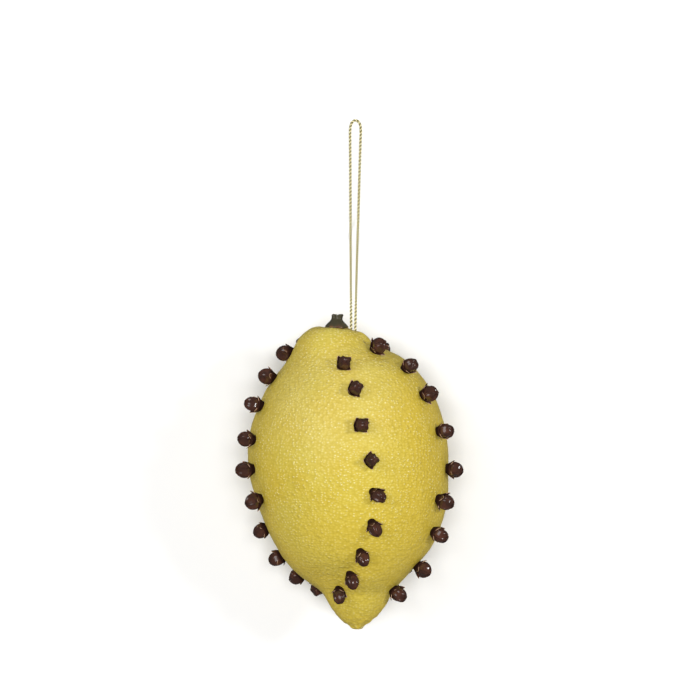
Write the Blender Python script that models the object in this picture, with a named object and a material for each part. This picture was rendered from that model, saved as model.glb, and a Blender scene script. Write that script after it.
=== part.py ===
"""A clove-studded lemon ornament, at its real size in metres.

The moulded lemon lies on its back on a small flat spot. +Y runs along it towards the stem, +Z
points up through its front, and the origin is the middle of the flat spot, under the widest
part of the belly. Five rows of cloves sit in shallow sockets in the rind, a stem cap sits on
the neck, and a looped cord comes out beside the cap, droops to the ground and lies along it.

Inside the lemon a place is given by "along", the distance from the widest part of the belly
towards the stem, and by "azimuth", the angle round the lemon from its front towards +X.
"""

import math
import random

import bmesh
import bpy
from mathutils import Matrix, Vector

MM = 0.001
GAP = 0.3 * MM  # between pieces that touch

# The belly: two half ellipses that meet at its widest part.
BELLY_RADIUS = 31.5 * MM
BELLY_TO_STEM = 38.0 * MM
BELLY_TO_TIP = 44.7 * MM
BELLY_LEAN = 1.5 * MM  # how far the tip's half is set over towards +X
LEAN_LENGTH = 20 * MM
FLAT_SPOT_DEPTH = 0.75 * MM
AXIS_HEIGHT = BELLY_RADIUS - FLAT_SPOT_DEPTH

# The neck: a blunt knob, set over to -X and forward, whose top falls away towards +X.
NECK_TOP = 41.25 * MM
NECK_RADIUS = 12.0 * MM
NECK_ROUNDING = 5.6 * MM  # the depth below the top at which the neck has its radius
NECK_POWER = 0.24
NECK_CENTRE = Vector((-4.8, 2.0)) * MM
NECK_SLOPE = 0.09
NECK_STARTS = 30 * MM

# The tip: a blunt cone, set over to +X.
TIP_BASE = -41.6 * MM
TIP_LENGTH = 12.7 * MM
TIP_RADIUS = 10.7 * MM
TIP_CENTRE = Vector((2.5, 0.4)) * MM
TIP_DENT = Vector((0.5, 1.6)) * MM  # depth and radius of the scar at its end
TIP_END = TIP_BASE - TIP_LENGTH

BLEND = 14  # how sharply the neck and the tip grow out of the belly

# Slow swellings of the rind: height, waves round the lemon, waves per metre along it, phase.
LUMPS = (
    (0.22 * MM, 3, 62, 0.4),
    (0.20 * MM, 5, 40, 2.1),
    (0.16 * MM, 2, 118, 4.4),
)

# Creases: place along, azimuth in degrees, rise along for each degree, width, spread, depth.
CREASES = (
    (33.9 * MM, 62, 0.045 * MM, 2.4 * MM, 50, 2.5 * MM),
    (-37.2 * MM, -38, 0.062 * MM, 3.4 * MM, 55, 1.6 * MM),
    (-30.0 * MM, 8, 0.10 * MM, 4.0 * MM, 16, 0.7 * MM),
    (-35.5 * MM, 92, 0, 5.0 * MM, 38, 1.3 * MM),
)

RINGS = 36
RING_POINTS = 70
WALK_STEPS = 1200

# A clove: rings from its foot to its crown, as the height and radius of the four corners that
# the sepals end in, then of the four flats between them, in mm.
CLOVE_RINGS = (
    (-0.90, 1.30, -0.90, 1.30),
    (0.70, 1.75, 0.60, 1.45),
    (2.50, 2.60, 1.70, 1.85),
    (2.60, 1.80, 2.40, 1.85),
    (3.90, 2.10, 3.90, 2.10),
    (5.10, 1.40, 5.10, 1.40),
)
CLOVE_CROWN = 5.75
CLOVE_SIDES = 8
SIZE_SPREAD = 0.04  # how far a clove's size strays from its row's
# The hollow cut from the rind round a clove, a GAP outside it: height and radius, in mm.
SOCKET_RINGS = ((-1.20, 1.60), (0.00, 1.80), (2.30, 2.95), (4.40, 2.95))

# Cloves set by hand in the rows that face up: along in mm, then in degrees the azimuth, the
# angle up towards the stem, the lean round the lemon, and the turn on the clove's own axis.
FRONT_ROW = (
    (29.8, -4, 6, 4, 40),
    (21.8, 3.5, 10, 8, 20),
    (11.0, 7, 0, 0, 42),
    (0.6, 12, -6, -2, 8),
    (-9.5, 12.3, -27, 32, 30),
    (-18.9, 10.8, -50, 28, 25),
    (-28.1, 4.5, -55, 31, 40),
    (-35.3, -4, -60, 38, 35),
    (-40.4, -23, -55, 25, 40),
)
RIGHT_ROW = (
    (34.0, 50, 35, 0, 20),
    (28.0, 54, 27, 2, 50),
    (20.0, 58, 8, 0, 15),
    (8.7, 64, 3, -2, 40),
    (-3.1, 75, -7, 0, 25),
    (-12.3, 61.5, -22, 3, 60),
    (-22.5, 64, -25, 0, 35),
    (-33.5, 74, -29, -4, 10),
    (-41.0, 68, -35, -6, 45),
)
LEFT_ROW = (
    (33.0, -99, -4, 0, 30),
    (25.2, -82, 12, 3, 10),
    (16.5, -75, 12, 0, 50),
    (6.0, -71, 4, -2, 25),
    (-3.1, -71, -8, 0, 40),
    (-12.3, -67.5, -18, 2, 5),
    (-22.0, -97, -25, -4, 35),
    (-30.7, -103, -28, -3, 55),
    (-36.5, -118, -30, 0, 20),
    (-40.0, -136, -38, -6, 40),
)

# Rows underneath, clear of the ground: the azimuths of the first and the last clove, then their
# angles on the belly's ellipse, in degrees, and how many cloves there are.
BACK_RIGHT_ROW = (141, 128, 60, -64, 9)
BACK_LEFT_ROW = (-130, -180, 63, -62, 10)
BACK_BEND = 4  # the power by which such a row turns more towards the tip
BACK_UP_SHARE = 0.6  # the share of the ellipse's angle by which a clove there points up
BACK_STRAY = 4  # degrees by which one there may lean

# Width and length of the cloves of each row, as shares of the ones above.
ROW_SIZES = {
    "front": (0.85, 1.0),
    "right": (1.04, 0.98),
    "left": (1.04, 0.98),
    "back_right": (1.0, 1.0),
    "back_left": (1.0, 1.0),
}

CAP_PLACE = Vector((-3.95, 2.2)) * MM  # across the lemon and up from its axis
CAP_SEAT = 41.0 * MM
CAP_PROFILE = (  # height and radius in mm, from the skirt's edge over the rim
    (0.00, 3.65),
    (0.30, 3.65),
    (1.35, 2.90),
    (2.00, 2.28),
    (2.60, 1.72),
    (3.05, 1.58),
    (3.55, 1.64),
    (3.90, 1.72),
    (4.15, 1.45),
    (4.00, 0.80),
)
CAP_DIP = 3.9  # height of the middle of its top, in mm
CAP_SIDES = 18
CAP_SEAT_RADIUS = CAP_PROFILE[0][1] * MM + GAP
CUTTER_RISE = 3 * MM  # how far the cutters of the seat and the cord's hole stand out

CORD_DIAMETER = 0.9 * MM
CORD_STEPS = 2  # points of the tube for each stretch of the route
CORD_HOLE_DEPTH = 2.6 * MM
CORD_MIDDLE = Vector((1.27, 2.10)) * MM  # x midway between the strands, at the exit and the end
CORD_EXIT = 40.4 * MM
# One strand: along +Y, height above the ground, and half the gap between the strands.
CORD_ROUTE = (
    (38.2, 33.15, 0.68),
    (41.5, 33.15, 0.68),
    (44.5, 32.95, 0.71),
    (47.8, 32.00, 0.76),
    (51.2, 29.90, 0.81),
    (54.4, 26.60, 0.86),
    (57.4, 22.60, 0.91),
    (60.3, 18.10, 0.96),
    (63.2, 13.50, 1.01),
    (66.3, 9.00, 1.07),
    (69.8, 5.00, 1.13),
    (73.8, 2.10, 1.20),
    (78.2, 0.75, 1.27),
    (83.0, 0.50, 1.35),
    (89.0, 0.50, 1.45),
    (95.0, 0.50, 1.55),
    (101.0, 0.50, 1.66),
    (105.6, 0.50, 1.68),
    (107.5, 0.50, 1.12),
    (108.2, 0.50, 0.00),
)


def smooth_step(low, high, value):
    """0 at low, 1 at high, and an even S between them."""
    share = min(max((value - low) / (high - low), 0.0), 1.0)
    return share * share * (3 - 2 * share)


def belly_radius(along):
    half_length = BELLY_TO_STEM if along > 0 else BELLY_TO_TIP
    return BELLY_RADIUS * math.sqrt(max(0.0, 1 - (along / half_length) ** 2))


def neck_radius(along):
    depth = max(0.0, NECK_TOP - along)
    return NECK_RADIUS * (depth / NECK_ROUNDING) ** NECK_POWER


def tip_radius(along):
    reach = min(max((TIP_BASE - along) / TIP_LENGTH, 0.0), 1.0)
    return TIP_RADIUS * (1 - reach**1.5) ** 0.75


def ray_to_circle(across, centre, radius):
    """How far the direction across runs inside a circle whose centre is given."""
    ahead = across.dot(centre)
    aside_squared = centre.length_squared - ahead**2
    if radius**2 <= aside_squared:
        return 0.0
    return max(0.0, ahead + math.sqrt(radius**2 - aside_squared))


def section_middle(along):
    """The point, across and up, that a section's radii are measured from."""
    belly_centre = Vector((BELLY_LEAN * smooth_step(0, -LEAN_LENGTH, along), 0))
    middle = belly_centre.lerp(NECK_CENTRE, smooth_step(31 * MM, 37.5 * MM, along))
    return middle.lerp(TIP_CENTRE, smooth_step(-38 * MM, -44 * MM, along))


def rind_relief(along, azimuth):
    """How far the rind's swellings stand out here, less the depth of its creases."""
    height = sum(
        size * math.sin(round_waves * azimuth + along_waves * along + phase)
        for size, round_waves, along_waves, phase in LUMPS
    )
    degrees = math.degrees(azimuth)
    for place, middle, rise, width, spread, depth in CREASES:
        turned = (degrees - middle + 180) % 360 - 180
        aside = (along - place - rise * turned) / width
        height -= depth * math.exp(-(aside**2) - (turned / spread) ** 2)
    return height


def rind_point(along, azimuth):
    """The point of the rind, from the lemon's axis, that along and azimuth name."""
    across = Vector((math.sin(azimuth), math.cos(azimuth)))
    middle = section_middle(along)
    belly_centre = Vector((BELLY_LEAN * smooth_step(0, -LEAN_LENGTH, along), 0))
    rays = (
        ray_to_circle(across, belly_centre - middle, belly_radius(along)),
        ray_to_circle(across, NECK_CENTRE - middle, neck_radius(along)),
        ray_to_circle(across, TIP_CENTRE - middle, tip_radius(along)),
    )
    if along < 0:
        rays = (rays[0], rays[2])
    else:
        rays = rays[:2]
    longest = max(rays)
    if longest <= 0:
        radius = 0.0
    else:
        radius = longest * sum((ray / longest) ** BLEND for ray in rays) ** (1 / BLEND)
        radius += rind_relief(along, azimuth) * min(1.0, radius / (10 * MM))
    aside, up = middle + across * radius
    slope = NECK_SLOPE * smooth_step(NECK_STARTS, NECK_TOP, along)
    from_end = (Vector((aside, up)) - TIP_CENTRE).length / TIP_DENT[1]
    dent = TIP_DENT[0] * math.exp(-(from_end**2)) if along < 0 else 0.0
    return Vector((aside, along - slope * (aside - NECK_CENTRE[0]) + dent, up))


def rind_stations(count):
    """Places along the lemon, tip to stem, that cut its outline into equal lengths."""
    middle = (NECK_TOP + TIP_END) / 2
    half = (NECK_TOP - TIP_END) / 2
    places = [middle - half * math.cos(math.pi * i / WALK_STEPS) for i in range(WALK_STEPS + 1)]
    outline = [rind_point(place, math.pi / 2) for place in places]
    walked = [0.0]
    for before, after in zip(outline, outline[1:]):
        walked.append(walked[-1] + (after - before).length)
    stations = []
    step = 0
    for i in range(count):
        wanted = walked[-1] * (i + 1) / (count + 1)
        while walked[step + 1] < wanted:
            step += 1
        share = (wanted - walked[step]) / (walked[step + 1] - walked[step])
        stations.append(places[step] + share * (places[step + 1] - places[step]))
    return stations


def make_material(name, colour, roughness, metallic=0.0):
    material = bpy.data.materials.new(name)
    material.use_nodes = True
    shader = material.node_tree.nodes["Principled BSDF"]
    shader.inputs["Base Color"].default_value = (*colour, 1)
    shader.inputs["Roughness"].default_value = roughness
    shader.inputs["Metallic"].default_value = metallic
    return material


def make_object(name, mesh, material=None, parent=None):
    made = bpy.data.objects.new(name, mesh)
    made.parent = parent
    if material:
        mesh.materials.clear()
        mesh.materials.append(material)
    bpy.context.scene.collection.objects.link(made)
    return made


def close_rings(body, rings, first_pole, last_pole):
    """Faces between rings of points, with a fan to a single point at each end."""
    for lower, upper in zip(rings, rings[1:]):
        for i, corner in enumerate(lower):
            after = (i + 1) % len(lower)
            body.faces.new((corner, lower[after], upper[after], upper[i]))
    for i in range(len(rings[0])):
        after = (i + 1) % len(rings[0])
        body.faces.new((first_pole, rings[0][after], rings[0][i]))
        body.faces.new((last_pole, rings[-1][i], rings[-1][after]))
    bmesh.ops.recalc_face_normals(body, faces=body.faces)


def mesh_from(body, name, sharp_angle):
    mesh = bpy.data.meshes.new(name)
    body.to_mesh(mesh)
    body.free()
    mesh.shade_smooth()
    mesh.set_sharp_from_angle(angle=math.radians(sharp_angle))
    return mesh


def make_lemon(material, parent, cutters):
    """The rind as one solid, flat where it rests and cut away for what sits in it."""
    body = bmesh.new()
    rings = []
    for along in rind_stations(RINGS):
        ring = [rind_point(along, 2 * math.pi * i / RING_POINTS) for i in range(RING_POINTS)]
        rings.append([body.verts.new(point) for point in ring])
    tip = body.verts.new(rind_point(TIP_END, 0))
    top = body.verts.new(rind_point(NECK_TOP, 0))
    close_rings(body, rings, tip, top)
    cut = bmesh.ops.bisect_plane(
        body,
        geom=body.verts[:] + body.edges[:] + body.faces[:],
        plane_co=(0, 0, -AXIS_HEIGHT),
        plane_no=(0, 0, -1),
        clear_outer=True,
    )
    rim = [part for part in cut["geom_cut"] if isinstance(part, bmesh.types.BMEdge)]
    bmesh.ops.contextual_create(body, geom=rim)
    bmesh.ops.recalc_face_normals(body, faces=body.faces)
    lemon = make_object("lemon", mesh_from(body, "lemon", 50), material, parent)
    sockets = lemon.modifiers.new("sockets", "BOOLEAN")
    sockets.operand_type = "COLLECTION"
    sockets.collection = cutters
    sockets.solver = "EXACT"
    return lemon


def make_clove_mesh():
    """A clove with its foot below z = 0: a square calyx with four sepals under a round bud."""
    body = bmesh.new()
    rings = []
    for corner_height, corner_radius, flat_height, flat_radius in CLOVE_RINGS:
        ring = []
        for i in range(CLOVE_SIDES):
            angle = 2 * math.pi * i / CLOVE_SIDES
            height, radius = corner_height, corner_radius
            if i % 2:
                height, radius = flat_height, flat_radius
            place = Vector((radius * math.cos(angle), radius * math.sin(angle), height))
            ring.append(body.verts.new(place * MM))
        rings.append(ring)
    foot = body.verts.new((0, 0, CLOVE_RINGS[0][0] * MM))
    crown = body.verts.new((0, 0, CLOVE_CROWN * MM))
    close_rings(body, rings, foot, crown)
    return mesh_from(body, "clove", 60)


def turned_mesh(profile, first_pole, last_pole, sides):
    """A solid turned about z: its profile's heights and radii, and its ends' heights, in mm."""
    body = bmesh.new()
    rings = []
    for height, radius in profile:
        ring = []
        for i in range(sides):
            angle = 2 * math.pi * i / sides
            place = Vector((radius * math.cos(angle), radius * math.sin(angle), height))
            ring.append(body.verts.new(place * MM))
        rings.append(ring)
    poles = [body.verts.new((0, 0, height * MM)) for height in (first_pole, last_pole)]
    close_rings(body, rings, *poles)
    return mesh_from(body, "turned", 50)


def clove_frame(along, azimuth, up_angle, lean, turn):
    """Where a clove stands: its foot on the rind, and its own z pointing out through it."""
    out = Vector((math.sin(azimuth), 0, math.cos(azimuth)))
    around = Vector((math.cos(azimuth), 0, -math.sin(azimuth)))
    level = out * math.cos(lean) + around * math.sin(lean)
    crown = level * math.cos(up_angle) + Vector((0, math.sin(up_angle), 0))
    side = (around - crown * around.dot(crown)).normalized()
    turned = Matrix.Rotation(turn, 3, crown) @ side
    axes = Matrix((turned, crown.cross(turned), crown)).transposed()
    return Matrix.Translation(rind_point(along, azimuth)) @ axes.to_4x4()


def back_row(draw, first_azimuth, last_azimuth, first, last, count):
    """The places of a row underneath, evenly spaced from the first to the last."""
    places = []
    for i in range(count):
        share = i / (count - 1)
        azimuth = first_azimuth + (last_azimuth - first_azimuth) * share**BACK_BEND
        angle = first + (last - first) * share
        half_length = BELLY_TO_STEM if angle > 0 else BELLY_TO_TIP
        along = half_length / MM * math.sin(math.radians(angle))
        lean = draw.uniform(-BACK_STRAY, BACK_STRAY)
        places.append((along, azimuth, angle * BACK_UP_SHARE, lean, draw.uniform(0, 90)))
    return places


def make_cloves(material, parent, cutters):
    """Every clove, and the cutter of the socket that it sits in."""
    draw = random.Random(5)
    rows = {
        "front": FRONT_ROW,
        "right": RIGHT_ROW,
        "left": LEFT_ROW,
        "back_right": back_row(draw, *BACK_RIGHT_ROW),
        "back_left": back_row(draw, *BACK_LEFT_ROW),
    }
    shape = make_clove_mesh()
    socket = turned_mesh(SOCKET_RINGS, SOCKET_RINGS[0][0], SOCKET_RINGS[-1][0], CLOVE_SIDES)
    for row, places in rows.items():
        row_width, row_length = ROW_SIZES[row]
        for number, (along, *angles) in enumerate(places, 1):
            size = 1 + draw.uniform(-SIZE_SPREAD, SIZE_SPREAD)
            width, length = row_width * size, row_length * size
            frame = clove_frame(along * MM, *map(math.radians, angles))
            frame = frame @ Matrix.Diagonal((width, width, length, 1))
            clove = make_object(f"clove_{row}_{number}", shape, material, parent)
            clove.matrix_local = frame
            make_cutter(f"socket_{row}_{number}", socket, frame, parent, cutters)


def stadium(half_length, radius, corners):
    """Points round a slot with half-round ends, or round a circle where half_length is 0."""
    points = []
    for i in range(corners):
        angle = 2 * math.pi * (i + 0.5) / corners
        end = math.copysign(half_length, math.cos(angle))
        points.append((end + radius * math.cos(angle), radius * math.sin(angle)))
    return points


def prism_mesh(outline, low, high):
    """The outline as a solid from low to high."""
    body = bmesh.new()
    bottom, top = (
        [body.verts.new((x, y, height)) for x, y in outline] for height in (low, high)
    )
    body.faces.new(bottom)
    body.faces.new(top)
    for i, corner in enumerate(bottom):
        after = (i + 1) % len(bottom)
        body.faces.new((corner, bottom[after], top[after], top[i]))
    bmesh.ops.recalc_face_normals(body, faces=body.faces)
    mesh = bpy.data.meshes.new("cutter")
    body.to_mesh(mesh)
    body.free()
    return mesh


def make_cutter(name, mesh, frame, parent, cutters):
    made = bpy.data.objects.new(name, mesh)
    made.parent = parent
    made.matrix_local = frame
    made.hide_render = True
    made.display_type = "WIRE"
    cutters.objects.link(made)


def stemward_frame(aside, along, up):
    """A frame at a place whose own z points along the lemon, and its y down."""
    place = Matrix.Translation((aside, along, up))
    return place @ Matrix.Rotation(-math.pi / 2, 4, "X")


def make_cap(material, parent, cutters):
    """The turned stem cap, and the cutter of the seat that it sits in."""
    frame = stemward_frame(CAP_PLACE[0], CAP_SEAT, CAP_PLACE[1])
    cap = make_object("stem_cap", turned_mesh(CAP_PROFILE, 0, CAP_DIP, CAP_SIDES), material, parent)
    cap.matrix_local = frame
    seat = prism_mesh(stadium(0, CAP_SEAT_RADIUS, CAP_SIDES), -GAP, CUTTER_RISE)
    make_cutter("cap_seat", seat, frame, parent, cutters)


def cord_route():
    """The points that the cord runs through, from one end in the lemon to the other."""
    first, last = CORD_ROUTE[0][0], CORD_ROUTE[-1][0]
    strands = ([], [])
    for along, height, half_gap in CORD_ROUTE:
        share = (along - first) / (last - first)
        middle = CORD_MIDDLE[0] + (CORD_MIDDLE[1] - CORD_MIDDLE[0]) * share
        for strand, side in zip(strands, (-1, 1)):
            strand.append(Vector((middle + side * half_gap * MM, along * MM, height * MM)))
    return strands[0] + strands[1][-2::-1]


def smooth_curve(points, steps):
    """Points on a smooth curve through the given ones, with that many for each stretch."""
    ends = [2 * points[0] - points[1], *points, 2 * points[-1] - points[-2]]
    curve = []
    for before, start, end, after in zip(ends, ends[1:], ends[2:], ends[3:]):
        for step in range(steps):
            t = step / steps
            curve.append(
                start
                + (end - before) * (t / 2)
                + (2 * before - 5 * start + 4 * end - after) * (t**2 / 2)
                + (3 * start - before - 3 * end + after) * (t**3 / 2)
            )
    return curve + [points[-1]]


def make_cord(material, parent, cutters):
    """The looped cord as a round tube, and the cutter of the hole that it comes out of."""
    points = smooth_curve(cord_route(), CORD_STEPS)
    curve = bpy.data.curves.new("cord", "CURVE")
    curve.dimensions = "3D"
    curve.bevel_depth = CORD_DIAMETER / 2
    curve.bevel_resolution = 2
    curve.use_fill_caps = True
    spline = curve.splines.new("POLY")
    spline.points.add(len(points) - 1)
    for point, place in zip(spline.points, points):
        point.co = (*place, 1)
    make_object("cord", curve, material)
    half_gap = CORD_ROUTE[0][2] * MM
    hole = stadium(half_gap, CORD_DIAMETER / 2 + GAP, 12)
    frame = stemward_frame(CORD_MIDDLE[0], CORD_EXIT, CORD_ROUTE[0][1] * MM - AXIS_HEIGHT)
    cutter = prism_mesh(hole, -CORD_HOLE_DEPTH, CUTTER_RISE)
    make_cutter("cord_hole", cutter, frame, parent, cutters)


def main():
    for old in list(bpy.data.objects):
        bpy.data.objects.remove(old)
    axis = bpy.data.objects.new("lemon_axis", None)
    axis.location = (0, 0, AXIS_HEIGHT)
    bpy.context.scene.collection.objects.link(axis)
    cutters = bpy.data.collections.new("sockets")
    bpy.context.scene.collection.children.link(cutters)

    rind = make_material("lemon rind", (0.68, 0.52, 0.07), 0.35)
    spice = make_material("painted clove", (0.055, 0.022, 0.014), 0.22)
    bark = make_material("stem brown", (0.045, 0.035, 0.02), 0.3)
    gold = make_material("gold thread", (0.62, 0.48, 0.18), 0.35, 0.85)
    make_cloves(spice, axis, cutters)
    make_cap(bark, axis, cutters)
    make_cord(gold, axis, cutters)
    make_lemon(rind, axis, cutters)


if __name__ == "__main__":
    main()
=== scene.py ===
"""The clove-studded lemon ornament as it looks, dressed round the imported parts.

Lengths are in metres, in the frame of the parts: the moulded lemon lies on its back on the
floor, +Y runs along it towards the stem cap, and +Z points up through its front.
"""

from __future__ import annotations

import logging
import math
import random
from collections.abc import Callable, Iterator
from contextlib import contextmanager
from dataclasses import dataclass
from enum import Enum
from functools import reduce

import bpy
from mathutils import Matrix, Vector, noise
from mathutils.kdtree import KDTree

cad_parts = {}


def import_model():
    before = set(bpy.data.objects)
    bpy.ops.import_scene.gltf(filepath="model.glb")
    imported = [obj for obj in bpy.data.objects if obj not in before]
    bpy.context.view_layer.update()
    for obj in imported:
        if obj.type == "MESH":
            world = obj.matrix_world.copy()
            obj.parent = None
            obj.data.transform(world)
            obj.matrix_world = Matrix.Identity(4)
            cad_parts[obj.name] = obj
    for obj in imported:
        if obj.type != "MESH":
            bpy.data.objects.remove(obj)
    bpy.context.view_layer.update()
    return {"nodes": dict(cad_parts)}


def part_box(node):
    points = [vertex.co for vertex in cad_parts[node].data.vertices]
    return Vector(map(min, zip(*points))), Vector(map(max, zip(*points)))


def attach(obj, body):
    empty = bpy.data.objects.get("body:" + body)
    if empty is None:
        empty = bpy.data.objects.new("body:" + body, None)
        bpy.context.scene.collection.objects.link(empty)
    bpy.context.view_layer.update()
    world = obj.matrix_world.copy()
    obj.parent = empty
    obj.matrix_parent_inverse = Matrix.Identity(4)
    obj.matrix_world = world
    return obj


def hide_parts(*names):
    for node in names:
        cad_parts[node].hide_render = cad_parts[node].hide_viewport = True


MM = 0.001
BODY = "root"
Piece = bpy.types.Object
Material = bpy.types.Material
Socket = bpy.types.NodeSocket
Value = float | tuple[float, ...] | Socket
Colour = tuple[float, float, float, float]
Place = tuple[float, float, float]
Rings = tuple[tuple[float, float], ...]  # height and radius of each ring, in mm
MeshPart = bpy.types.MeshVertex | bpy.types.MeshPolygon
Shade = Callable[[Vector, Vector], float]  # a number from a point's place and normal

log = logging.getLogger("lemon")


# ---------------------------------------------------------------- working by hand


def deselect_all() -> None:
    """Leaves object mode with nothing selected."""
    if bpy.context.object and bpy.context.object.mode != "OBJECT":
        bpy.ops.object.mode_set(mode="OBJECT")
    bpy.ops.object.select_all(action="DESELECT")


def clamped(share: float) -> float:
    """The share, held from 0 to 1."""
    return min(max(share, 0.0), 1.0)


def smooth_step(low: float, high: float, value: float) -> float:
    """0 at low, 1 at high, and an even S between them."""
    share = clamped((value - low) / (high - low))
    return share * share * (3 - 2 * share)


def take(*pieces: Piece) -> None:
    """Selects the pieces alone, the first of them active.

    Args:
        pieces: The objects that the next operator works on.
    """
    deselect_all()
    for piece in pieces:
        piece.select_set(True)
    bpy.context.view_layer.objects.active = pieces[0]


@contextmanager
def editing(piece: Piece, kind: str = "VERT", everything: bool = True) -> Iterator[None]:
    """Edit mode on a piece.

    Args:
        piece: The object to edit.
        kind: What a selection holds: VERT, EDGE or FACE.
        everything: Whether all of it is selected at the start, or nothing.

    Returns:
        The context, which leaves edit mode at its end.
    """
    take(piece)
    bpy.ops.object.mode_set(mode="EDIT")
    bpy.ops.mesh.select_mode(type=kind)
    bpy.ops.mesh.select_all(action="SELECT" if everything else "DESELECT")
    yield
    bpy.ops.object.mode_set(mode="OBJECT")


def pick(piece: Piece, parts: str, wanted: Callable[[MeshPart], bool]) -> None:
    """Selects the points or the faces of a piece in edit mode that a test accepts.

    Args:
        piece: The object in edit mode.
        parts: What is picked: vertices or polygons.
        wanted: The test, given a point or a face.
    """
    bpy.ops.object.mode_set(mode="OBJECT")
    mesh = piece.data
    for every in (mesh.vertices, mesh.edges, mesh.polygons):
        every.foreach_set("select", [False] * len(every))
    for part in getattr(mesh, parts):
        part.select = wanted(part)
    bpy.ops.object.mode_set(mode="EDIT")


def draw_up(
    name: str, rings: Rings, sides: int, fill: str, lean: float = 0.0, above: float = 0.0
) -> Piece:
    """A round solid drawn up from a circle, ring by ring.

    Args:
        name: The solid's name.
        rings: Its rings.
        sides: How many sides a ring has.
        fill: How the first ring is filled: NGON or TRIFAN.
        lean: How far it leans towards +X for each unit of height.
        above: The height that it leans from, in mm.

    Returns:
        The solid, closed at its first ring and at its last.
    """
    deselect_all()
    height, radius = rings[0]
    bpy.ops.mesh.primitive_circle_add(
        vertices=sides, radius=radius * MM, fill_type=fill, location=(0, 0, height * MM)
    )
    solid = bpy.context.object
    solid.name = solid.data.name = name
    bpy.ops.object.transform_apply(location=True)
    with editing(solid, "FACE"):
        for (low, near), (high, far) in zip(rings, rings[1:]):
            aside = lean * (max(high, above) - max(low, above))
            move = (aside * MM, 0, (high - low) * MM)
            bpy.ops.mesh.extrude_region_move(TRANSFORM_OT_translate={"value": move})
            bpy.ops.transform.resize(value=(far / near, far / near, 1))
    return solid


def add_modifier(piece: Piece, kind: str, **settings: object) -> None:
    """Adds a modifier to a piece and applies it.

    Args:
        piece: The object to change.
        kind: The modifier's type.
        settings: What its properties are set to.
    """
    take(piece)
    modifier = piece.modifiers.new(kind.lower(), kind)
    for name, value in settings.items():
        setattr(modifier, name, value)
    bpy.ops.object.modifier_apply(modifier=modifier.name)


def subdivide_smoothly(piece: Piece, levels: int) -> None:
    """Rounds a piece with subdivision surfaces, its faces divided that many times."""
    add_modifier(piece, "SUBSURF", levels=levels, render_levels=levels)


def raise_points(piece: Piece, height: Shade, most: float) -> None:
    """Lifts a piece's points along their normals by painted weights.

    Args:
        piece: The object to shape.
        height: A point's lift, in metres from -most to most.
        most: The largest lift either way, in metres.
    """
    group = piece.vertex_groups.new(name="lift")
    for point in piece.data.vertices:
        share = (height(point.co, point.normal) / most + 1) / 2
        group.add([point.index], clamped(share), "REPLACE")
    # Weight 1/2 is left where it is: what is lifted by half too much is lowered again.
    add_modifier(piece, "DISPLACE", strength=2 * most, mid_level=0, vertex_group="lift")
    add_modifier(piece, "DISPLACE", strength=-most, mid_level=0)
    piece.vertex_groups.remove(piece.vertex_groups["lift"])


def paint_attribute(piece: Piece, name: str, shade: Shade) -> None:
    """Stores a number from 0 to 1 at each point of a piece for its finish to read.

    Args:
        piece: The object to paint.
        name: The attribute's name.
        shade: The number.
    """
    layer = piece.data.attributes.new(name, "FLOAT", "POINT")
    values = [clamped(shade(point.co, point.normal)) for point in piece.data.vertices]
    layer.data.foreach_set("value", values)


def search_tree(places: list[Vector]) -> KDTree:
    """A tree that finds the nearest of the places.

    Args:
        places: The places to find.

    Returns:
        The tree, ready to search.
    """
    tree = KDTree(len(places))
    for index, place in enumerate(places):
        tree.insert(place, index)
    tree.balance()
    return tree


def added(name: str, data: bpy.types.ID) -> Piece:
    """Puts a new object of that data in the scene.

    Args:
        name: The object's name.
        data: Its mesh, curve, light or camera.

    Returns:
        The object.
    """
    made = bpy.data.objects.new(name, data)
    bpy.context.scene.collection.objects.link(made)
    return made


def copied(piece: Piece, name: str, frame_of_copy: Matrix) -> Piece:
    """A copy of a piece with a mesh of its own, its place in that mesh.

    Args:
        piece: The object to copy.
        name: The copy's name.
        frame_of_copy: Where the copy goes, its object staying at the origin.

    Returns:
        The copy.
    """
    mesh = piece.data.copy()
    mesh.transform(frame_of_copy)
    mesh.name = name
    return added(name, mesh)


def settle(piece: Piece, material: Material, node: str) -> None:
    """Dresses a piece, applies its place to its mesh and hands it to the frame.

    Args:
        piece: The finished object.
        material: Its finish.
        node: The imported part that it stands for.
    """
    piece.data.materials.clear()
    piece.data.materials.append(material)
    take(piece)
    bpy.ops.object.transform_apply(location=True, rotation=True, scale=True)
    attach(piece, BODY)
    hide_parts(node)
    log.info("%s: %d faces", piece.name, len(piece.data.polygons))


# ---------------------------------------------------------------- finishes


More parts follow.
